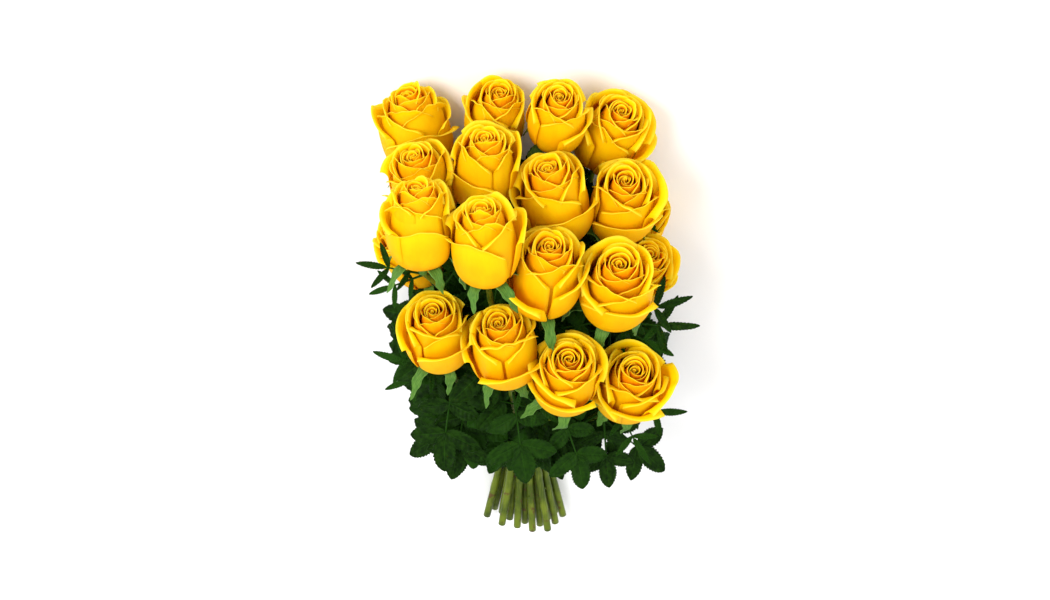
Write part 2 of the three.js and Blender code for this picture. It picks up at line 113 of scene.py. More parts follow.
# Each rose's character. opened: from 0, a tight bud, to 1. guards: its loose outer petals, each with its
# direction in degrees about the bloom (0 right, 90 to the back), how far it hangs out, its point, and how
# high it rises as a share of the others.
ROSES = {
    1: (0.45, [(175, 0.07, 0.0, 0.95), (15, 0.05, 0.03, 0.85), (-70, 0.04, 0.02, 0.76)]),
    2: (0.25, [(200, 0.06, 0.02, 0.9)]),
    3: (0.15, [(100, 0.0, 0.13, 1), (-30, 0.12, 0.02, 0.8)]),
    4: (0.4, [(30, 0.1, 0.05, 0.95), (-45, 0.15, 0.02, 0.8), (170, 0.08, 0.04, 1)]),
    5: (0.4, [(20, 0.06, 0.03, 0.95), (-100, 0.05, 0.0, 0.78)]),
    6: (0.25, [(25, 0.12, 0.1, 1), (-130, 0.03, 0.02, 0.72)]),
    7: (0.5, [(-60, 0.08, 0.02, 0.72), (170, 0.06, 0.0, 0.9)]),
    8: (0.4, [(10, 0.14, 0.08, 1), (-80, 0.05, 0.0, 0.75)]),
    9: (0.2, [(60, 0.05, 0.02, 1), (-95, 0.03, 0.0, 0.7), (170, 0.04, 0.02, 0.8)]),
    10: (0.3, [(-170, 0.0, 0.05, 1)]),
    11: (0.25, [(15, 0.26, 0.03, 1), (-120, 0.02, 0.04, 0.8)]),
    12: (0.45, [(225, 0.3, 0.05, 0.8), (-20, 0.1, 0.06, 0.85)]),
    13: (0.65, [(-90, 0.03, 0.0, 0.8), (190, 0.05, 0.0, 1)]),
    14: (0.4, [(20, 0.08, 0.04, 1), (-50, 0.12, 0.02, 0.85)]),
    15: (0.4, [(0, 0.05, 0.0, 1)]),
    16: (0.4, [(-60, 0.07, 0.05, 0.78), (170, 0.06, 0.02, 0.9)]),
    17: (0.4, [(-75, 0.2, 0.0, 0.68), (165, 0.12, 0.05, 0.9)]),
    18: (0.6, [(35, 0.08, 0.02, 1), (-110, 0.04, 0.0, 0.75)]),
    19: (0.5, [(-18, 0.16, 0.14, 1), (200, 0.14, 0.1, 0.9), (-100, 0.04, 0.0, 0.78)]),
}


# Meshes


class Skin:
    """Collects closed shells, with where each point lies on its petal or leaf, into one mesh."""

    def __init__(self):
        self.points, self.faces, self.place, self.kind = [], [], [], []
        self.count = 0

    def add(self, points, faces, place, kind):
        self.points.append(points)
        self.faces.append(faces + self.count)
        self.place.append(place)
        self.kind.append(np.tile(np.asarray(kind, float), (len(points), 1)))
        self.count += len(points)

    def shell(self, grid, u, v, thickness, kind):
        """A sheet of points, rows along its length, given thickness."""
        rows, columns, _ = grid.shape
        grid = settled(grid)
        along = np.gradient(grid, axis=0)
        across = np.gradient(grid, axis=1)
        normal = np.cross(across, along)
        normal /= np.maximum(np.linalg.norm(normal, axis=2, keepdims=True), 1e-12)
        half = normal * np.broadcast_to(thickness, (rows, columns))[..., None] / 2
        index = np.arange(rows * columns).reshape(rows, columns)
        low, right = index[:-1, :-1], index[:-1, 1:]
        high, corner = index[1:, :-1], index[1:, 1:]
        front = np.stack([low, right, corner, high], axis=-1).reshape(-1, 4)
        size = rows * columns
        back = front[:, ::-1] + size
        edge = np.concatenate([index[0, :], index[1:, -1], index[-1, -2::-1], index[-2:0:-1, 0]])
        after = np.roll(edge, -1)
        rim = np.stack([after, edge, edge + size, after + size], axis=-1)
        points = np.concatenate([(grid + half).reshape(-1, 3), (grid - half).reshape(-1, 3)])
        u_each = np.broadcast_to(u, (rows, columns)).ravel()
        v_each = np.broadcast_to(v, (rows, columns)).ravel()
        place = np.zeros((2 * size, 3))
        place[:size] = np.stack([u_each, v_each, np.ones(size)], axis=-1)
        place[size:] = np.stack([u_each, v_each, np.zeros(size)], axis=-1)
        self.add(points, np.concatenate([front, back, rim]), place, kind)

    def tube(self, line, radii, sides, kind, squash=1.0):
        """A closed round rod along a line of points."""
        line = np.asarray(line, float)
        way = np.gradient(line, axis=0)
        way /= np.linalg.norm(way, axis=1, keepdims=True)
        side = np.cross(way[0], UP if abs(way[0][2]) < 0.9 else ALONG)
        rings = []
        angle = np.linspace(0, 2 * math.pi, sides, endpoint=False)
        for centre, tangent, radius in zip(line, way, radii):
            side = side - tangent * side.dot(tangent)
            side /= np.linalg.norm(side)
            other = np.cross(tangent, side)
            ring = np.outer(np.cos(angle), side) + np.outer(np.sin(angle), other) * squash
            rings.append(centre + ring * radius)
        rings = np.array(rings)
        steps = len(line)
        points = np.concatenate([rings.reshape(-1, 3), line[:1], line[-1:]])
        index = np.arange(steps * sides).reshape(steps, sides)
        turned = np.roll(index, -1, axis=1)
        walls = np.stack([index[:-1], turned[:-1], turned[1:], index[1:]], axis=-1).reshape(-1, 4)
        first, last = steps * sides, steps * sides + 1
        start = np.stack([turned[0], index[0], np.full(sides, first), np.full(sides, first)], axis=-1)
        end = np.stack([index[-1], turned[-1], np.full(sides, last), np.full(sides, last)], axis=-1)
        v = np.repeat(np.linspace(0, 1, steps), sides)
        u = np.tile(angle / math.pi - 1, steps)
        place = np.concatenate([np.stack([u, v, np.ones_like(u)], axis=-1), [[0, 0, 0], [0, 1, 0]]])
        self.add(points, np.concatenate([walls, start, end]), place, kind)

    def piece(self, name, material, slot, *nodes):
        points = np.concatenate(self.points)
        faces = np.concatenate(self.faces)
        # A face whose last two corners are one is a triangle.
        kept = np.ones(faces.shape, bool)
        kept[:, 3] = faces[:, 2] != faces[:, 3]
        sizes = kept.sum(1)
        corners = faces[kept]
        mesh = bpy.data.meshes.new(name)
        mesh.vertices.add(len(points))
        mesh.vertices.foreach_set("co", points.ravel())
        mesh.loops.add(len(corners))
        mesh.loops.foreach_set("vertex_index", corners)
        mesh.polygons.add(len(faces))
        mesh.polygons.foreach_set("loop_start", np.concatenate([[0], np.cumsum(sizes)[:-1]]))
        mesh.polygons.foreach_set("use_smooth", np.ones(len(faces), bool))
        mesh.update(calc_edges=True)
        for label, values in (("place", self.place), ("kind", self.kind)):
            attribute = mesh.attributes.new(label, "FLOAT_VECTOR", "POINT")
            attribute.data.foreach_set("vector", np.concatenate(values).ravel())
        mesh.materials.append(material)
        made = bpy.data.objects.new(name, mesh)
        bpy.context.scene.collection.objects.link(made)
        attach(made, "root")
        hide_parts(*nodes)
        return made


def settled(points):
    """Soft pieces that would reach into the table bend to lie on it."""
    points = points.copy()
    low = points[..., 2] < TABLE_REACH
    points[low, 2] = TABLE_GAP + (TABLE_REACH - TABLE_GAP) * np.exp(
        (points[low, 2] - TABLE_REACH) / (TABLE_REACH - TABLE_GAP)
    )
    return points


def smooth(low, high, x):
    s = np.clip((x - low) / (high - low), 0, 1)
    return s * s * (3 - 2 * s)


def unit(vector):
    return vector / np.linalg.norm(vector)


def spin(vector, axis, angle):
    """Turns a vector about a unit axis."""
    cos, sin = math.cos(angle), math.sin(angle)
    return vector * cos + np.cross(axis, vector) * sin + axis * axis.dot(vector) * (1 - cos)


# What the frame says

ROUNDED_TO = 6  # decimals of a metre, to find the corners that triangles share
STEM_SLICES = 26
STEM_POINTS = 70
FAIRING_ROUNDS = 3
LEAF_FOOT_REACH = 2.4 * MM
FIVE_LEAFLET_CORNERS = 135  # a CAD leaf with more corners than this has five leaflets, and else three


def solid(node):
    """A CAD node's own corners and the triangles that join them."""
    mesh = frame["nodes"][node].data
    corners = np.array([vertex.co for vertex in mesh.vertices])
    points, same = np.unique(np.round(corners, ROUNDED_TO), axis=0, return_inverse=True)
    same = same.ravel()
    faces = np.array([[same[i] for i in face.vertices] for face in mesh.polygons])
    return points, faces


def bloom_frame(number):
    """A bloom's base, axis and length: its two poles are where the most triangles meet."""
    points, faces = solid(f"bloom_{number:02d}")
    meeting = np.bincount(faces.ravel(), minlength=len(points))
    poles = points[np.argsort(-meeting)[:2]]
    stem, _ = solid(f"stem_{number:02d}")
    near = [np.linalg.norm(stem - pole, axis=1).min() for pole in poles]
    base, heart = poles if near[0] < near[1] else poles[::-1]
    return base, unit(heart - base), np.linalg.norm(heart - base) / BLOOM_HEART


def stem_line(number, base, axis):
    """The line down the middle of a stem, from slices of its solid across the bunch."""
    points, faces = solid(f"stem_{number:02d}")
    edges = np.concatenate([faces[:, [0, 1]], faces[:, [1, 2]], faces[:, [2, 0]]])
    start = points[:, 1].min() + 2 * MM
    stop = (base - axis * 1.7 * HIP_LENGTH)[1]
    line = []
    for y in np.linspace(start, stop, STEM_SLICES):
        a, b = points[edges[:, 0]], points[edges[:, 1]]
        crossing = (a[:, 1] - y) * (b[:, 1] - y) < 0
        a, b = a[crossing], b[crossing]
        share = ((y - a[:, 1]) / (b[:, 1] - a[:, 1]))[:, None]
        cuts = a + (b - a) * share
        # A sepal that hangs down beside the stem is cut too, so only what lies near the last centre counts.
        if line:
            guess = line[-1] if len(line) < 2 else 2 * line[-1] - line[-2]
            near = np.linalg.norm((cuts - guess)[:, [0, 2]], axis=1) < 2.2 * STEM_RADIUS
            cuts = cuts[near]
        if len(cuts):
            line.append((cuts.min(0) + cuts.max(0)) / 2)
    line[0] = line[0] - unit(line[1] - line[0]) * 1.5 * MM
    line += [base - axis * HIP_LENGTH * 1.05, base - axis * HIP_LENGTH * 0.3]
    return resample(faired(np.array(line), FAIRING_ROUNDS), STEM_POINTS)


def faired(line, rounds):
    for _ in range(rounds):
        line[1:-2] = (line[:-3] + 2 * line[1:-2] + line[2:-1]) / 4
    return line


def resample(line, count):
    length = np.concatenate([[0], np.cumsum(np.linalg.norm(np.diff(line, axis=0), axis=1))])
    wanted = np.linspace(0, length[-1], count)
    return np.stack([np.interp(wanted, length, line[:, i]) for i in range(3)], axis=-1)


def leaf_frame(node):
    """A CAD leaf's foot, directions and length, from its own symmetry."""
    points, _ = solid(node)
    middle = points.mean(0)
    gaps = np.linalg.norm(points[:, None] - points[None], axis=2)
    bunched = (gaps < LEAF_FOOT_REACH).sum(1) >= 4
    candidates = points[bunched]
    foot = candidates[np.argmax(np.linalg.norm(candidates - middle, axis=1))]
    foot = points[np.linalg.norm(points - foot, axis=1) < LEAF_FOOT_REACH].mean(0)
    tip = points[np.argmax(np.linalg.norm(points - foot, axis=1))]
    chord = unit(tip - foot)
    rest = (points - foot) - np.outer((points - foot) @ chord, chord)
    rest -= rest.mean(0)
    across = np.linalg.svd(rest, full_matrices=False)[2][0]
    across = unit(across - chord * across.dot(chord))
    face = np.cross(across, chord)
    if (middle - foot).dot(face) < 0:
        across, face = -across, -face
    lift = math.atan(LEAF_DROOP)
    along = spin(chord, across, lift)
    if along.dot(face) < 0:
        along = spin(chord, across, -lift)
    length = np.linalg.norm(tip - foot) / math.hypot(1, LEAF_DROOP)
    return foot, across, along, np.cross(across, along), length


# Materials


def node_material(name, roughness, **sockets):
    material = bpy.data.materials.new(name)
    material.use_nodes = True
    shader = material.node_tree.nodes["Principled BSDF"]
    shader.inputs["Roughness"].default_value = roughness
    for socket, value in sockets.items():
        shader.inputs[socket.replace("_", " ")].default_value = value
    return material, material.node_tree, shader


def attribute(tree, name):
    node = tree.nodes.new("ShaderNodeAttribute")
    node.attribute_name = name
    parts = tree.nodes.new("ShaderNodeSeparateXYZ")
    tree.links.new(node.outputs["Vector"], parts.inputs[0])
    return node.outputs["Vector"], parts.outputs


def maths(tree, operation, *values, clamp=False):
    node = tree.nodes.new("ShaderNodeMath")
    node.operation = operation
    node.use_clamp = clamp
    for socket, value in zip(node.inputs, values):
        if isinstance(value, (int, float)):
            socket.default_value = value
        else:
            tree.links.new(value, socket)
    return node.outputs[0]


def stretch(tree, value, low, high, bottom=0.0, top=1.0):
    node = tree.nodes.new("ShaderNodeMapRange")
    node.interpolation_type = "SMOOTHSTEP"
    tree.links.new(value, node.inputs["Value"])
    for socket, number in zip(("From Min", "From Max", "To Min", "To Max"), (low, high, bottom, top)):
        node.inputs[socket].default_value = number
    return node.outputs[0]


def noise(tree, vector, scale, detail=4.0, roughness=0.55):
    node = tree.nodes.new("ShaderNodeTexNoise")
    node.inputs["Scale"].default_value = scale
    node.inputs["Detail"].default_value = detail
    node.inputs["Roughness"].default_value = roughness
    tree.links.new(vector, node.inputs["Vector"])
    return node.outputs["Fac"]


def scaled(tree, vector, size, offset=None):
    node = tree.nodes.new("ShaderNodeVectorMath")
    node.operation = "MULTIPLY"
    tree.links.new(vector, node.inputs[0])
    node.inputs[1].default_value = size
    if offset is None:
        return node.outputs[0]
    shift = tree.nodes.new("ShaderNodeVectorMath")
    shift.operation = "ADD"
    tree.links.new(node.outputs[0], shift.inputs[0])
    tree.links.new(offset, shift.inputs[1])
    return shift.outputs[0]


def blend_colour(tree, share, a, b, kind="MIX"):
    node = tree.nodes.new("ShaderNodeMix")
    node.data_type = "RGBA"
    node.blend_type = kind
    for socket, value in ((node.inputs["Factor"], share), (node.inputs["A"], a), (node.inputs["B"], b)):
        if isinstance(value, (int, float)):
            socket.default_value = value
        elif isinstance(value, tuple):
            socket.default_value = (*value, 1)
        else:
            tree.links.new(value, socket)
    return node.outputs["Result"]


def let_light_through(tree, shader, colour, share):
    """Mixes in light that falls on the far side."""
    through = tree.nodes.new("ShaderNodeBsdfTranslucent")
    tree.links.new(colour, through.inputs["Color"])
    mixed = tree.nodes.new("ShaderNodeMixShader")
    mixed.inputs[0].default_value = share
    tree.links.new(shader.outputs[0], mixed.inputs[1])
    tree.links.new(through.outputs[0], mixed.inputs[2])
    tree.links.new(mixed.outputs[0], tree.nodes["Material Output"].inputs["Surface"])


def bump(tree, shader, height, strength, distance):
    node = tree.nodes.new("ShaderNodeBump")
    node.inputs["Strength"].default_value = strength
    node.inputs["Distance"].default_value = distance
    tree.links.new(height, node.inputs["Height"])
    tree.links.new(node.outputs[0], shader.inputs["Normal"])


def object_position(tree):
    return tree.nodes.new("ShaderNodeTexCoord").outputs["Object"]


# A petal's colours from its foot to its rim, and in the folds of the bud: amber and gold towards the foot are
# painted shade, the pale rim is a painted highlight, and the deep fold colour is painted shade
PAINTED_SHADE_AMBER = (1.0, 0.46, 0.0)
PAINTED_SHADE_GOLD = (1.0, 0.6, 0.0)
YELLOW = (1.0, 0.76, 0.0)
PAINTED_HIGHLIGHT_RIM = (1.0, 0.86, 0.05)
PAINTED_FOLD_SHADE = (1.0, 0.34, 0.0)
BRIGHT_CLOUD = (1.0, 0.78, 0.0)
ORANGE_VEIN = (1.0, 0.5, 0.0)
PETAL_GLOW = 0.42  # the share of the light that a petal lets through


def petal_material():
    material, tree, shader = node_material("rose_petal", 0.6, Specular_IOR_Level=0.14)
    place, (_, v, _) = attribute(tree, "place")
    kind, (whorl, _, _) = attribute(tree, "kind")
    # Painted shade: each petal's lower body is coloured amber to gold, deeper towards its foot.
    body = blend_colour(tree, stretch(tree, v, 0.05, 0.5), PAINTED_SHADE_AMBER, PAINTED_SHADE_GOLD)
    face = blend_colour(tree, stretch(tree, v, 0.5, 0.9), body, YELLOW)
    # Painted highlight: the rim is coloured paler.
    rim = blend_colour(tree, stretch(tree, v, 0.92, 1.0), face, PAINTED_HIGHLIGHT_RIM)
    # Painted shade: the inner petals are coloured deeper below their lips, where they press together.
    inner = stretch(tree, whorl, 0.35, 1.0, 0.85, 0.0)
    below = stretch(tree, v, 0.72, 0.88, 1.0, 0.0)
    heart = blend_colour(tree, maths(tree, "MULTIPLY", inner, below), rim, PAINTED_FOLD_SHADE)
    cloud = noise(tree, scaled(tree, place, (1.3, 1.6, 0.3), kind), 2.2, 3)
    varied = blend_colour(tree, stretch(tree, cloud, 0.35, 0.7, 0.0, 0.4), heart, BRIGHT_CLOUD)
    veins = noise(tree, scaled(tree, place, (26.0, 1.4, 1.0), kind), 2.0, 5, 0.6)
    lined = blend_colour(tree, stretch(tree, veins, 0.45, 0.75, 0.0, 0.14), varied, ORANGE_VEIN)
    tree.links.new(lined, shader.inputs["Base Color"])
    grain = noise(tree, object_position(tree), 900, 2)
    height = maths(tree, "MULTIPLY_ADD", grain, 0.15, veins)
    bump(tree, shader, height, 0.3, 0.2 * MM)
    let_light_through(tree, shader, lined, PETAL_GLOW)
    return material


# A leaf's colours, of old leaves and young ones, from above and from below
LEAF_SHADE = (0.003, 0.014, 0.0008)
LEAF_GREEN = (0.012, 0.042, 0.002)
YOUNG_GREEN = (0.018, 0.075, 0.004)
VEIN_GREEN = (0.03, 0.11, 0.008)
UNDER_GREEN = (0.02, 0.07, 0.012)
UNDER_VEIN = (0.06, 0.16, 0.03)
LEAF_GLOW = 0.15


def leaf_material():
    material, tree, shader = node_material("rose_leaf", 0.5, Specular_IOR_Level=0.05)
    place, (u, v, side) = attribute(tree, "place")
    kind, (age, _, _) = attribute(tree, "kind")
    cloud = noise(tree, scaled(tree, place, (1.0, 2.0, 0.0), kind), 2.5, 5)
    dark = blend_colour(tree, stretch(tree, cloud, 0.3, 0.7), LEAF_SHADE, LEAF_GREEN)
    upper = blend_colour(tree, stretch(tree, age, 0.3, 1.0, 0.0, 0.6), dark, YOUNG_GREEN)
    across = maths(tree, "ABSOLUTE", u)
    midrib = stretch(tree, across, 0.0, 0.05, 1.0, 0.0)
    slant = maths(tree, "MULTIPLY_ADD", across, -RIB_SLANT, maths(tree, "MULTIPLY", v, RIBS))
    near = maths(tree, "ABSOLUTE", maths(tree, "SUBTRACT", maths(tree, "FRACT", slant), 0.5))
    ribs = stretch(tree, near, 0.0, 0.07, 0.4, 0.0)
    lines = maths(tree, "MAXIMUM", midrib, ribs)
    veined = blend_colour(tree, maths(tree, "MULTIPLY", lines, 0.35), upper, VEIN_GREEN)
    under = blend_colour(tree, lines, UNDER_GREEN, UNDER_VEIN)
    colour = blend_colour(tree, side, under, veined)
    tree.links.new(colour, shader.inputs["Base Color"])
    fine = noise(tree, scaled(tree, place, (40.0, 60.0, 1.0), kind), 1.5, 4)
    height = maths(tree, "MULTIPLY_ADD", fine, 0.4, maths(tree, "MULTIPLY", lines, -1.0))
    bump(tree, shader, height, 0.4, 0.3 * MM)
    let_light_through(tree, shader, colour, LEAF_GLOW)
    return material


BARK_SHADE = (0.045, 0.075, 0.003)
BARK_GREEN = (0.12, 0.165, 0.008)
BARK_STREAK = (0.2, 0.23, 0.02)
SCAR_BROWN = (0.09, 0.045, 0.012)


def stem_material():
    material, tree, shader = node_material("rose_stem", 0.45, Specular_IOR_Level=0.2)
    position = object_position(tree)
    streaks = noise(tree, scaled(tree, position, (900.0, 60.0, 900.0)), 1.0, 3)
    patches = noise(tree, position, 45, 3)
    green = blend_colour(tree, stretch(tree, patches, 0.35, 0.65), BARK_SHADE, BARK_GREEN)
    streaked = blend_colour(tree, stretch(tree, streaks, 0.5, 0.75, 0.0, 0.5), green, BARK_STREAK)
    spots = stretch(tree, noise(tree, position, 130, 2), 0.6, 0.7, 0.0, 0.85)
    scarred = blend_colour(tree, spots, streaked, SCAR_BROWN)
    tree.links.new(scarred, shader.inputs["Base Color"])
    bump(tree, shader, streaks, 0.4, 0.3 * MM)
    return material


PITH_SHADE = (0.42, 0.45, 0.2)
PITH = (0.62, 0.62, 0.36)


def cut_material():
    material, tree, shader = node_material("cut_stem_end", 0.7)
    position = object_position(tree)
    pith = noise(tree, position, 1400, 3)
    colour = blend_colour(tree, stretch(tree, pith, 0.35, 0.65), PITH_SHADE, PITH)
    tree.links.new(colour, shader.inputs["Base Color"])
    bump(tree, shader, pith, 0.5, 0.3 * MM)
    return material


# A sepal's outer side is darker than its inner one.
SEPAL_OUTER = ((0.045, 0.13, 0.015), (0.1, 0.22, 0.03))
SEPAL_INNER = ((0.16, 0.35, 0.07), (0.26, 0.5, 0.13))


def sepal_material():
    material, tree, shader = node_material("rose_sepal", 0.55, Specular_IOR_Level=0.15)
    place, (_, _, side) = attribute(tree, "place")
    kind, _ = attribute(tree, "kind")
    mottle = noise(tree, scaled(tree, place, (3.0, 4.0, 1.0), kind), 2.0, 4)
    outer = blend_colour(tree, stretch(tree, mottle, 0.35, 0.65), *SEPAL_OUTER)
    inner = blend_colour(tree, stretch(tree, mottle, 0.35, 0.65), *SEPAL_INNER)
    colour = blend_colour(tree, side, inner, outer)
    tree.links.new(colour, shader.inputs["Base Color"])
    fibres = noise(tree, scaled(tree, place, (18.0, 2.0, 1.0), kind), 2.0, 4)
    bump(tree, shader, fibres, 0.5, 0.3 * MM)
    return material


RAFFIA_SHADE = (0.3, 0.19, 0.07)
RAFFIA = (0.6, 0.45, 0.22)


def tie_material():
    material, tree, shader = node_material("raffia_tie", 0.75)
    position = object_position(tree)
    fibres = noise(tree, scaled(tree, position, (120.0, 2600.0, 120.0)), 1.0, 4)
    colour = blend_colour(tree, stretch(tree, fibres, 0.3, 0.7), RAFFIA_SHADE, RAFFIA)
    tree.links.new(colour, shader.inputs["Base Color"])
    bump(tree, shader, fibres, 0.8, 0.4 * MM)
    return material


PETAL = petal_material()
LEAF = leaf_material()
STEM = stem_material()
CUT = cut_material()
SEPAL = sepal_material()
TIE = tie_material()


# Blooms, in their own frame: +Z along the axis from the base, scaled to one unit of length

WIDE = PLUMP_WIDTH * BLOOM_WIDTH / 2 / BLOOM_LENGTH
PETALS = 22
OUTER_PETALS = 5
HEART_PETALS = 8
CURL_START = 0.78  # the share of a petal's length below its curled lip

# For each whorl: how far its lips curl, in radians, how deep they are, as shares of the length, and how
# pointed its petals are
OUTER_CURL, OUTER_LIP, OUTER_POINT = (1.1, 2.1), (0.09, 0.15), (0.0, 0.05)
INNER_CURL, INNER_LIP, INNER_POINT = (0.9, 1.7), (0.05, 0.09), (0, 0.03)
HEART_CURL, HEART_LIP = (0.9, 1.4), 0.035


def bezier(s, a, b, c, d):
    return (1 - s) ** 3 * a + 3 * s * (1 - s) ** 2 * b + 3 * s ** 2 * (1 - s) * c + s ** 3 * d


def petal_grid(t, half_angle, opened, turn, reach, tip, rise, rng, rows=24, columns=21):
    """A petal, from t = 0 at the heart to 1 outside, as a sheet of points round the axis."""
    v = np.linspace(0, 1, rows)[:, None]
    u = np.linspace(-1, 1, columns)[None, :]
    foot = WIDE * (0.1 + 0.2 * t)
    belly = WIDE * (0.14 + 0.86 * t ** 0.8)
    top = WIDE * (0.02 + (0.80 + 0.2 * opened + rng.uniform(-0.04, 0.04)) * t ** 1.05)
    height = BLOOM_HEART + 0.05 * math.sin(math.pi * min(1.3 * t, 1)) - 0.19 * t ** 3
    height = height + rng.uniform(-0.02, 0.02)
    # A petal that ends lower down stands out round the ones inside it.
    top += WIDE * 0.55 * (1 - rise)
    height *= rise
    across = np.abs(u)
    outline = 1 - (0.07 + 0.06 * t) * across ** 3 + tip * np.exp(-((u / 0.25) ** 2))
    outline = outline + 0.012 * t * np.sin(5 * u + rng.uniform(0, 6))
    outline = outline + 0.006 * t * np.sin(13 * u + rng.uniform(0, 6))

    def meridian(s):
        r = bezier(s, foot, 1.1 * belly, 1.08 * belly, top)
        return r, height * bezier(s, 0, 0.02, 0.6, 1)

    r, z = meridian(np.minimum(v / CURL_START, 1) * outline)
    r_end, z_end = meridian(outline)
    r_near, z_near = meridian(outline - 0.02)
    start = np.arctan2(r_end - r_near, z_end - z_near)
    turning = turn * (0.7 + 0.45 * across ** 1.5 + 0.15 * np.sin(3.3 * u + 7 * turn))
    lip = reach * (0.85 + 0.2 * across ** 2 + 0.16 * np.sin(4.1 * u + 5 * turn))
    curl = np.clip((v - CURL_START) / (1 - CURL_START), 0, 1)
    angle = start + turning * curl
    r = np.where(curl > 0, r_end + lip / turning * (np.cos(start) - np.cos(angle)), r)
    z = np.where(curl > 0, z_end + lip / turning * (np.sin(angle) - np.sin(start)), z)
    width = half_angle * (0.45 + 0.55 * smooth(0.0, 0.45, v)) * (1 - 0.1 * smooth(0.75, 1.0, v))
    phase = rng.uniform(0, 2 * math.pi)
    r = r + WIDE * 0.035 * t * np.sin(2.6 * u + phase) * v ** 2
    z = z + 0.012 * t * np.sin(3.1 * u + 2 * phase) * smooth(0.6, 1, v)
    # One edge tucks in and the other laps over the next petal.
    r = r + WIDE * (0.075 - 0.035 * t) * u * smooth(0.1, 0.6, v)
    r = np.maximum(r, 0.004)
    azimuth = u * width
    return np.stack([r * np.cos(azimuth), r * np.sin(azimuth), z + 0 * azimuth], axis=-1), u, v


def petal_style(k, t, hang, tip, rng):
    """What a petal takes from its whorl: its name, curl, lip, point and half angle in degrees."""
    if k >= PETALS - OUTER_PETALS:
        curl, lip = rng.uniform(*OUTER_CURL), rng.uniform(*OUTER_LIP)
        tip = tip or rng.uniform(*OUTER_POINT)
        return "outer_petals", curl, lip, tip, rng.uniform(60, 72) - 40 * hang
    if k >= HEART_PETALS:
        curl, lip = rng.uniform(*INNER_CURL), rng.uniform(*INNER_LIP)
        tip = rng.uniform(*INNER_POINT)
        return "inner_petals", curl, lip, tip, 98 - 30 * t + rng.uniform(-6, 6)
    return "heart", rng.uniform(*HEART_CURL), HEART_LIP, tip, 125 - 40 * t + rng.uniform(-8, 8)


def bloom(number):
    base, axis, length = bloom_frame(number)
    length *= PLUMP_LENGTH
    opened, guards = ROSES[number]
    rng = np.random.default_rng(1000 + number)
    side = unit(np.cross(axis, np.cross(np.array([1.0, 0.0, 0.0]), axis)))
    other = np.cross(axis, side)
    phase = rng.uniform(0, 2 * math.pi)
    petals = []
    for k in range(PETALS):
        t = k / (PETALS - 1) * 0.97
        petals.append((t, phase + k * GOLDEN_ANGLE, 0, 0, 1))
    for degrees, hang, tip, rise in guards:
        petals.append((1.0, math.radians(degrees), 0.75 * hang, tip, rise))
    whorls = {"heart": Skin(), "inner_petals": Skin(), "outer_petals": Skin()}
    for k, (t, heading, hang, tip, rise) in enumerate(petals):
        whorl, turn, reach, tip, half_angle = petal_style(k, t, hang, tip, rng)
        half_angle = math.radians(half_angle)
        grid, u, v = petal_grid(t, half_angle, opened, turn, reach, tip, rise, rng)
        bend = hang * smooth(0.05, 1, v)[..., None]
        x, y, z = grid[..., 0:1], grid[..., 1:2], grid[..., 2:3]
        x, z = x * np.cos(bend) + z * np.sin(bend), z * np.cos(bend) - x * np.sin(bend) * 0.6
        cos, sin = math.cos(heading), math.sin(heading)
        world = base + length * ((x * cos - y * sin) * side + (x * sin + y * cos) * other + z * axis)
        thickness = (0.32 + 0.2 * t) * MM * (1 - 0.35 * smooth(0.8, 1, v)) + 0 * u
        whorls[whorl].shell(world, u, v, thickness, (t, rng.uniform(0, 7), rng.uniform(0, 7)))
    for name, skin in whorls.items():
        skin.piece(f"bloom_{number:02d}_{name}", PETAL, "petals", f"bloom_{number:02d}")
    return base, axis, length


# Stems

KNOT_HEIGHT = 0.45 * MM
KNOT_LENGTH = 0.012  # as a share of the stem
THORNS = 5
THORN_LENGTH = 2.6 * MM
# A hip's stations along the bloom's axis, in hip lengths from its base, and its radius there in hip widths
HIP_STATIONS = np.array([-1.1, -0.85, -0.6, -0.35, -0.1, 0.12, 0.3])
HIP_RADII = np.array([0.26, 0.34, 0.44, 0.52, 0.54, 0.5, 0.3])
SEPALS = 5
SEPAL_HALF_WIDTH = 6 * MM
SEPAL_THICKNESS = 0.5 * MM


def thorn(skin, foot, out, way):
    line = [foot, foot + out * 1.6 * MM - way * 0.6 * MM, foot + out * THORN_LENGTH - way * 1.8 * MM]
    skin.tube(line, [1.1 * MM, 0.6 * MM, 0.12 * MM], 7, (0, 1, 0))


def stem(number, base, axis, length):
    rng = np.random.default_rng(2000 + number)
    node = f"stem_{number:02d}"
    line = stem_line(number, base, axis)
    share = np.linspace(0, 1, len(line))
    radii = STEM_RADIUS * (1.05 - 0.3 * share)
    for knot in np.arange(rng.uniform(0.1, 0.2), 0.95, rng.uniform(0.13, 0.19)):
        radii = radii + KNOT_HEIGHT * np.exp(-(((share - knot) / KNOT_LENGTH) ** 2))
    cane = Skin()
    cane.tube(line, radii, 14, (0, rng.uniform(0, 7), 0))
    for knot in rng.uniform(0.05, 0.9, THORNS):
        where = int(knot * (len(line) - 2))
        way = unit(line[where + 1] - line[where])
        out = unit(np.cross(way, rng.normal(size=3)))
        thorn(cane, line[where] + out * radii[where] * 0.8, out, way)
    cane.piece(f"{node}_cane", STEM, "stems", node)
    way = unit(line[1] - line[0])
    cut = Skin()
    cut.tube([line[0] - way * 0.25 * MM, line[0] + way * 0.2 * MM], [radii[0] * 0.93] * 2, 20, (0, 0, 0))
    cut.piece(f"{node}_cut_end", CUT, "stems", node)
    hip = Skin()
    fat = length / BLOOM_LENGTH
    centres = [base + axis * station * HIP_LENGTH for station in HIP_STATIONS]
    hip.tube(centres, HIP_RADII * HIP_WIDTH * fat, 18, (0, 0, 0))
    sepals(hip, base, axis, length, rng)
    hip.piece(f"{node}_calyx", SEPAL, "stems", node)
    return line


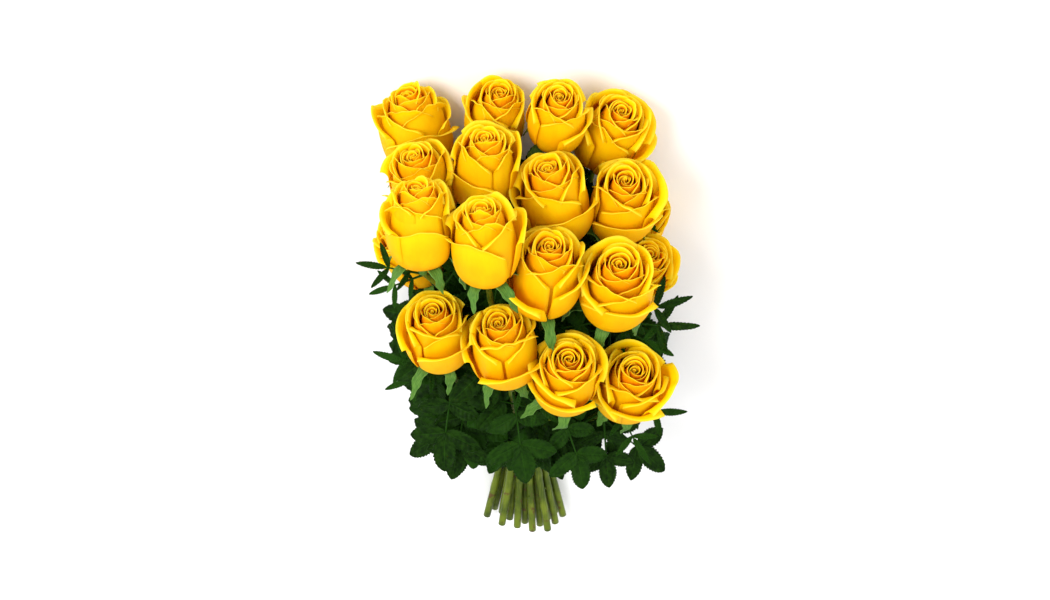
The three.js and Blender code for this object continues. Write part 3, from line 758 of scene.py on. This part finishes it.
def sepals(skin, base, axis, length, rng):
    """Pointed sepals that spring from the hip and bend back, each on an arc of its own."""
    side = unit(np.cross(axis, UP))
    other = np.cross(axis, side)
    first = rng.uniform(0, 2 * math.pi)
    v = np.linspace(0, 1, 16)[:, None]
    u = np.linspace(-1, 1, 9)[None, :]
    for k in range(SEPALS):
        turn = first + k * 2 * math.pi / SEPALS + rng.uniform(-0.15, 0.15)
        out = side * math.cos(turn) + other * math.sin(turn)
        across = np.cross(axis, out)
        reflex = rng.uniform(1.6, 2.7)
        size = rng.uniform(0.48, 0.7) * length
        angle = 1.1 + reflex * smooth(0.0, 0.8, v) - 0.5 * smooth(0.6, 1, v)
        step = size / (len(v) - 1)
        r = 0.07 * length + np.concatenate([[[0]], np.cumsum(np.sin(angle[:-1]), axis=0) * step])
        z = np.concatenate([[[0]], np.cumsum(np.cos(angle[:-1]), axis=0) * step])
        half = SEPAL_HALF_WIDTH * (length / BLOOM_LENGTH) * (1 - v ** 1.4) ** 0.8 * (0.75 + 0.5 * v)
        half = half + 0.25 * MM
        notch = 1 + 0.25 * np.sin(v * 19 + k) * smooth(0.3, 0.6, v) * np.abs(u)
        bend = rng.uniform(-0.25, 0.25)
        grid = (
            base
            + out * (r + 0 * u)[..., None]
            + axis * (z - 0.25 * half * (1 - u ** 2))[..., None]
            + across * (u * half * notch + bend * size * v ** 2)[..., None]
        )
        skin.shell(grid[:, ::-1], u[:, ::-1], v, SEPAL_THICKNESS, (0, rng.uniform(0, 7), k))


# Leaves

TEETH = 11
TOOTH_DEPTH = 0.17
RIB_RELIEF = 0.42 * MM
MIDRIB_RELIEF = 0.35 * MM
BLADE_THICKNESS = 0.35 * MM
STALK_RADII = (1.05 * MM, 0.6 * MM)
# How wide leaflets are against the CAD ones
CAD_LEAF_SPREAD = 1.12
UPPER_LEAF_SPREAD = 1.2
SPRIG_SPREAD = 0.5


def leaflet(skin, place, foot, heading, length, width, rng, age):
    """One toothed leaflet. place() turns leaf coordinates into the frame's."""
    v = np.linspace(0, 1, 4 * TEETH + 1)[:, None]
    u = np.linspace(-1, 1, 13)[None, :]
    outline = (v + 0.004) ** 0.62 * (1.0 - v) ** 0.72 * 1.92
    tooth = 1 - TOOTH_DEPTH * (1 - (v * TEETH) % 1.0) * smooth(0.03, 0.2, v)
    half = width / 2 * outline * (1 + (tooth - 1) * np.abs(u) ** 4)
    x = u * half
    y = v * length
    fold = rng.uniform(0.16, 0.38)
    z = fold * np.abs(x) - 0.25 * x ** 2 / width
    slant = v * RIBS - RIB_SLANT * np.abs(u)
    z = z + RIB_RELIEF * np.cos(2 * math.pi * slant) * (1 - np.abs(u) ** 3) * smooth(0, 0.15, np.abs(u))
    z = z - MIDRIB_RELIEF * np.exp(-((u / 0.08) ** 2))
    wave = rng.uniform(0, 2 * math.pi)
    z = z + 0.05 * width * np.sin(9 * v + wave) * u ** 2 * np.sign(u + 1e-9)
    z = z - rng.uniform(0.04, 0.2) * length * v ** 2.2
    cos, sin = math.cos(heading), math.sin(heading)
    local_x = foot[0] + y * sin + x * cos
    local_y = foot[1] + y * cos - x * sin
    grid = place(local_x, local_y, foot[2] + z)
    skin.shell(grid, u, v, BLADE_THICKNESS, (age, rng.uniform(0, 7), rng.uniform(0, 7)))


def leaf(skin, foot, across, along, face, length, leaflets, rng, spread=1.0, age=0.0):
    """A compound leaf: a thin stalk and its leaflets, drooping towards the tip."""
    per = LEAF_STALK + 1 + (LEAF_STEP if leaflets > 3 else 0)
    size = length / per
    wide = size * LEAFLET_WIDTH / LEAFLET_LENGTH * spread

    def place(x, y, z):
        fall = z - LEAF_DROOP * length * (y / length) ** 2
        return foot + x[..., None] * across + y[..., None] * along + fall[..., None] * face

    stalk = LEAF_STALK * size
    end = stalk + (LEAF_STEP * size if leaflets > 3 else 0)
    spine = np.linspace(0, end + 0.1 * size, 10)
    line = place(0 * spine, spine, 0 * spine)
    skin.tube(line, np.linspace(*STALK_RADII, 10), 8, (0.8, 0, 0))
    leaflet(skin, place, (0, end, 0), rng.uniform(-0.1, 0.1), size, wide, rng, age)
    for y, share in ((end, 0.9),) + (((stalk, 0.78),) if leaflets > 3 else ()):
        for way in (-1, 1):
            heading = way * (LEAFLET_ANGLE + rng.uniform(-0.12, 0.12))
            tilt = rng.uniform(-0.5, 0.5) * MM
            leaflet(skin, place, (0, y - 2 * MM, tilt), heading, share * size, share * wide, rng, age)


def cad_leaf(node, number):
    foot, across, along, face, length = leaf_frame(node)
    rng = np.random.default_rng(3000 + number)
    leaflets = 5 if len(solid(node)[0]) > FIVE_LEAFLET_CORNERS else 3
    skin = Skin()
    leaf(skin, foot, across, along, face, length, leaflets, rng, CAD_LEAF_SPREAD, rng.uniform(0, 0.7))
    skin.piece(node, LEAF, "leaves", node)


# Small leaves along the upper stems, wherever there is room between the blooms

PICTURE_UP = np.array([0.0, math.cos(TILT), -math.sin(TILT)])
PICTURE_RIGHT = np.array([1.0, 0.0, 0.0])
FIRST_LEAF = 40 * MM
LEAF_PITCH = 20 * MM
NECK_CLEAR = 12 * MM
LEAF_TRIALS = 36
CUP = ([-0.05, 0.1, 0.3, 1.0], [0.3, 0.72, 0.97, 1.04])
# Half the width of the foliage at distances from the tie
SPREAD = ([-0.022, 0.0, 0.03, 0.075, 0.12, 0.16, 0.25], [0.035, 0.066, 0.094, 0.116, 0.112, 0.092, 0.075])
# Where a compound leaf has leaf to show, across and along, as shares of its length
LEAF_SPOTS = np.array([
    [0, 0.62], [0, 0.75], [0, 0.88], [0, 1], [0.09, 0.8], [-0.09, 0.8], [0.18, 0.62], [-0.18, 0.62],
    [0.32, 0.68], [-0.32, 0.68], [0.18, 0.32], [-0.18, 0.32], [0.3, 0.37], [-0.3, 0.37], [0, 0.3],
])
# Narrow sprigs under a bloom: degrees in the picture, length, and how far under the bloom they start
SPRIGS = {
    2: [(-150, 52, 16)],
    8: [(28, 48, 14), (-25, 44, 18)],
    9: [(170, 52, 14), (-160, 46, 18)],
    13: [(14, 66, 14), (-6, 72, 17), (-24, 60, 20)],
    16: [(176, 60, 14), (-160, 52, 20)],
    17: [(-40, 50, 18)],
    19: [(-62, 54, 16), (-10, 60, 18)],
}
CELL = 7 * MM
COVER_CELLS = 60
COVER_FOOT = 8  # the cells below the tie


class Cover:
    """What blooms and leaves already hide, seen from the camera, in square cells about the tie."""

    def __init__(self, tie):
        self.tie = tie
        self.cells = np.zeros((COVER_CELLS, COVER_CELLS), int)

    def spots(self, points):
        offset = points - self.tie
        across = (offset[:, 0] / CELL + COVER_CELLS / 2).astype(int)
        up = (offset @ PICTURE_UP / CELL + COVER_FOOT).astype(int)
        return np.clip(across, 0, COVER_CELLS - 1), np.clip(up, 0, COVER_CELLS - 1)

    def bare(self, points):
        """How much of what the points would hide is still bare."""
        across, up = self.spots(points)
        return (1.0 / (1 + self.cells[across, up]) ** 2).sum()

    def add(self, points):
        across, up = self.spots(points)
        np.add.at(self.cells, (across, up), 1)


# Stations along a bloom where nothing may lie between it and the camera
SEEN_STATIONS = (0.25, 0.55, 0.85)
SEEN_WIDTH = 0.85


def room_for(points, heads, tie):
    """Whether a leaf's points lie over the table, within the bunch, off the blooms and out of their view."""
    offset = points - tie
    up = offset @ PICTURE_UP
    if points[:, 2].min() < TABLE_REACH or up.min() < SPREAD[0][0]:
        return False
    if (np.abs(offset[:, 0]) > np.interp(up, *SPREAD)).any():
        return False
    for base, axis, length in heads.values():
        for share in SEEN_STATIONS:
            away = points - base - axis * length * share
            ahead = away @ TO_CAMERA
            aside = np.linalg.norm(away - np.outer(ahead, TO_CAMERA), axis=1)
            if ((ahead > 0) & (aside < SEEN_WIDTH * WIDE * length)).any():
                return False
        along = (points - base) @ axis
        radius = np.linalg.norm(points - base - np.outer(along, axis), axis=1)
        share = along / length
        inside = (share > CUP[0][0]) & (share < 1.02) & (radius < WIDE * length * np.interp(share, *CUP))
        if inside.any():
            return False
    return True


def upper_leaves(number, line, heads, cover):
    """Leaves at steps along a stem, each turned the way that hides the most of what is still bare."""
    rng = np.random.default_rng(4000 + number)
    skin = Skin()
    along_line = np.concatenate([[0], np.cumsum(np.linalg.norm(np.diff(line, axis=0), axis=1))])
    start = np.interp(cover.tie[1] + FIRST_LEAF + rng.uniform(0, 0.5) * LEAF_PITCH, line[:, 1], along_line)
    for distance in np.arange(start, along_line[-1] - NECK_CLEAR, LEAF_PITCH):
        foot = np.array([np.interp(distance, along_line, line[:, i]) for i in range(3)])
        best, most = None, 0
        for _ in range(LEAF_TRIALS):
            heading = rng.uniform(0, 2 * math.pi)
            face = unit(TO_CAMERA + rng.normal(size=3) * 0.3)
            along = PICTURE_RIGHT * math.cos(heading) + PICTURE_UP * math.sin(heading)
            along = unit(along - face * along.dot(face))
            across = np.cross(along, face)
            length = rng.uniform(0.45, 0.9) * PER_LEAF * LEAFLET_LENGTH
            points = foot + length * (LEAF_SPOTS[:, :1] * across + LEAF_SPOTS[:, 1:] * along)
            points = points - LEAF_DROOP * length * LEAF_SPOTS[:, 1:] ** 2 * face
            if room_for(points, heads, cover.tie):
                gain = cover.bare(points) * length
                if gain > most:
                    best, most = (across, along, face, length, points), gain
        if best:
            across, along, face, length, points = best
            cover.add(points)
            leaflets = 5 if length > 1.4 * LEAFLET_LENGTH else 3
            leaf(skin, foot, across, along, face, length, leaflets, rng, UPPER_LEAF_SPREAD, rng.uniform(0, 1))
    if skin.count:
        skin.piece(f"stem_{number:02d}_upper_leaves", LEAF, "leaves", f"stem_{number:02d}")


def sprigs(number, head, line):
    """Narrow young leaves that show beside a bloom."""
    rng = np.random.default_rng(5000 + number)
    base, axis, _ = head
    skin = Skin()
    for degrees, length, below in SPRIGS[number]:
        foot = base - axis * below * MM
        foot = line[np.argmin(np.linalg.norm(line - foot, axis=1))]
        heading = math.radians(degrees)
        face = unit(TO_CAMERA + rng.normal(size=3) * 0.2)
        along = PICTURE_RIGHT * math.cos(heading) + PICTURE_UP * math.sin(heading)
        along = unit(along - face * along.dot(face))
        across = np.cross(along, face)
        leaf(skin, foot, across, along, face, length * MM, 5, rng, SPRIG_SPREAD, rng.uniform(0.4, 1))
    skin.piece(f"stem_{number:02d}_sprigs", LEAF, "leaves", f"stem_{number:02d}")


# Where rings that stand for a bloom lie along it, and their radii in shares of its widest radius
RING_STATIONS = (0.2, 0.4, 0.6, 0.8)
RING_RADII = (0.3, 0.7, 1.0)


def hide_behind_blooms(cover, heads):
    """Marks what the blooms hide, in rings that face the camera along each one's axis."""
    ring = np.linspace(0, 2 * math.pi, 16, endpoint=False)[:, None]
    flat = PICTURE_RIGHT * np.cos(ring) + PICTURE_UP * np.sin(ring)
    for base, axis, length in heads.values():
        for share in RING_STATIONS:
            for radius in RING_RADII:
                cover.add(base + axis * length * share + flat * WIDE * length * radius)


# The whole bunch

heads = {}
lines = {}
for number in range(1, len(ROSES) + 1):
    heads[number] = bloom(number)
    lines[number] = stem(number, *heads[number])
for number, node in enumerate(sorted(n for n in frame["nodes"] if n.startswith("leaf_"))):
    cad_leaf(node, number)
tie_low, tie_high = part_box("stem_tie")
tie_middle = np.array((tie_low + tie_high) / 2)
cover = Cover(tie_middle)
for node in frame["nodes"]:
    if node.startswith("leaf_"):
        cover.add(solid(node)[0])
hide_behind_blooms(cover, heads)
for number in SPRIGS:
    sprigs(number, heads[number], lines[number])
for number, line in lines.items():
    upper_leaves(number, line, heads, cover)
tie = frame["nodes"]["stem_tie"]
tie.data.materials.clear()
tie.data.materials.append(TIE)


# Floor, light and camera

CAMERA_DISTANCE = 1.55
LENS = 70
TIE_TO_TARGET = Vector((0, 0.2385, 0.1228))
FLOOR_REACH = 6.0
FLOOR_GAP = 0.5 * MM
FLOOR_WHITE = 0.93
# Each lamp's place from what the camera looks at, its size and its power
LAMPS = {
    "key": (Vector((-0.9, 0.9, 1.4)), 1.0, 30),
    "fill": (Vector((1.2, -0.1, 1.0)), 1.4, 7),
}


def stage_floor():
    material, _, shader = node_material("floor", 0.9)
    shader.inputs["Base Color"].default_value = (FLOOR_WHITE, FLOOR_WHITE, FLOOR_WHITE, 1)
    mesh = bpy.data.meshes.new("floor")
    corners = [(x * FLOOR_REACH, y * FLOOR_REACH, 0) for x, y in ((-1, -1), (1, -1), (1, 1), (-1, 1))]
    mesh.from_pydata(corners, [], [(0, 1, 2, 3)])
    mesh.materials.append(material)
    floor = bpy.data.objects.new("floor", mesh)
    floor.location.z = CAD_BOX[0][2] - FLOOR_GAP
    bpy.context.scene.collection.objects.link(floor)


def area_light(name, location, target, size, power):
    data = bpy.data.lights.new(name, "AREA")
    data.shape, data.size, data.energy = "DISK", size, power
    light = bpy.data.objects.new(name, data)
    light.location = location
    light.rotation_mode = "QUATERNION"
    light.rotation_quaternion = (target - light.location).to_track_quat("-Z", "Y")
    bpy.context.scene.collection.objects.link(light)


def light_and_camera():
    scene = bpy.context.scene
    world = bpy.data.worlds.new("studio")
    world.use_nodes = True
    world.node_tree.nodes["Background"].inputs[0].default_value = (1, 1, 1, 1)
    world.node_tree.nodes["Background"].inputs[1].default_value = 1.0
    scene.world = world
    low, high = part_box("stem_tie")
    target = (low + high) / 2 + TIE_TO_TARGET
    for name, (place, size, power) in LAMPS.items():
        area_light(name, target + place, target, size, power)
    camera = bpy.data.objects.new("camera", bpy.data.cameras.new("camera"))
    camera.data.lens = LENS
    camera.location = target + Vector(TO_CAMERA) * CAMERA_DISTANCE
    camera.rotation_euler = (-TILT, 0, 0)
    scene.collection.objects.link(camera)
    scene.camera = camera
    scene.view_settings.view_transform = "Standard"


stage_floor()
light_and_camera()

bpy.context.view_layer.update()
